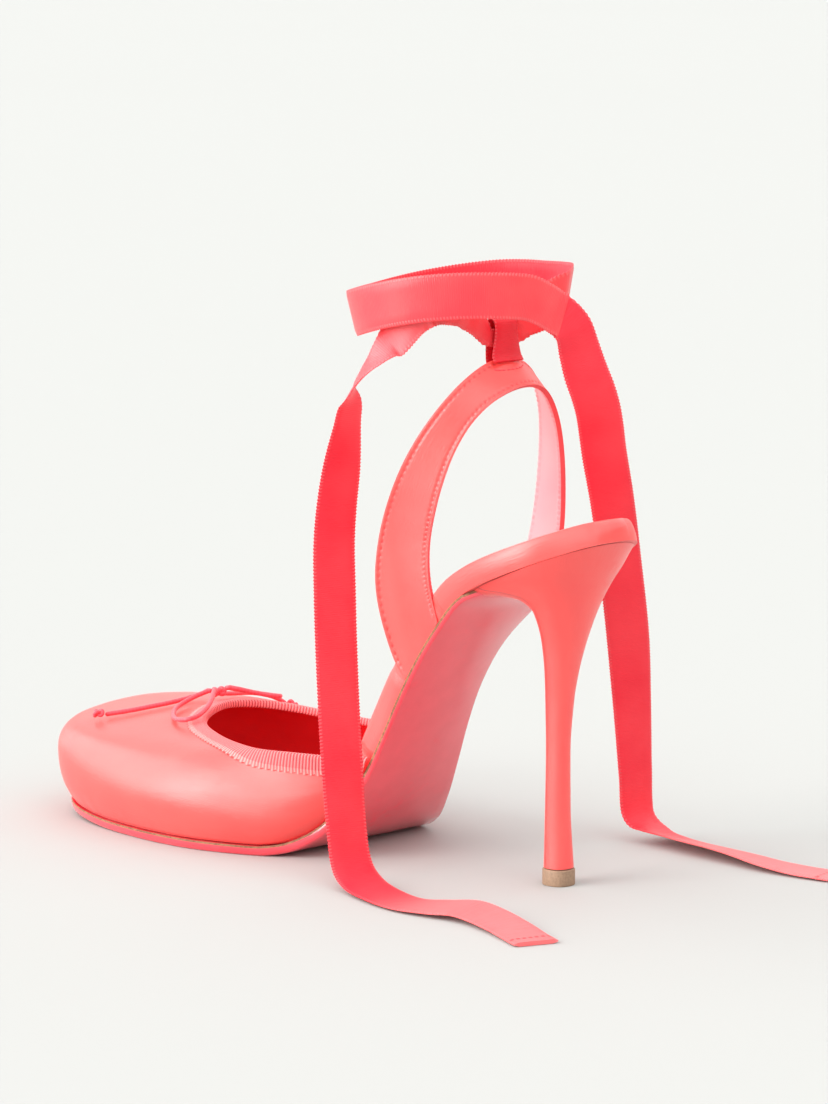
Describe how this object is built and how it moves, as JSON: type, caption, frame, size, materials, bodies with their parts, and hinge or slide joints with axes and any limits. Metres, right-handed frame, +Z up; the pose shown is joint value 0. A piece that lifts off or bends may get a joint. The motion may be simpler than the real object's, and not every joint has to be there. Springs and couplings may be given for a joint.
{
  "type": "lace-up pump",
  "caption": "Satin ballet-style pump with a slim high heel, ribbed topline binding, small cord bow, arched back strap and an ankle ribbon whose ends hang down to the floor.",
  "frame": {"origin": "on the floor, in the middle of the shoe's plan without its free ribbon ends and bow", "axes": "+Z up from the floor, -Y towards the toe, +X towards the wearer's left"},
  "size_m": [0.1383, 0.2482, 0.1794],
  "materials": {
    "sole_lacquer": "glossy red lacquer",
    "satin": "coral satin with a soft sheen",
    "binding": "ribbed grosgrain, matt",
    "ribbon": "woven satin ribbon with a soft sheen",
    "cord": "round woven cord, matt",
    "top_piece": "tan rubber, matt"
  },
  "bodies": {
    "root": {"outsole": "sole_lacquer", "insole": "satin", "vamp": "satin", "topline_binding": "binding", "back_strap": "satin", "ribbon_loop": "satin", "heel": "satin", "top_piece": "top_piece", "ankle_ribbon": "ribbon", "ribbon_end_left": "ribbon", "ribbon_end_right": "ribbon", "bow_knot": "cord", "bow_loop_left": "cord", "bow_loop_right": "cord", "bow_tail_left": "cord", "bow_tail_knot_left": "cord", "bow_tail_right": "cord", "bow_tail_knot_right": "cord"}
  },
  "joints": []
}
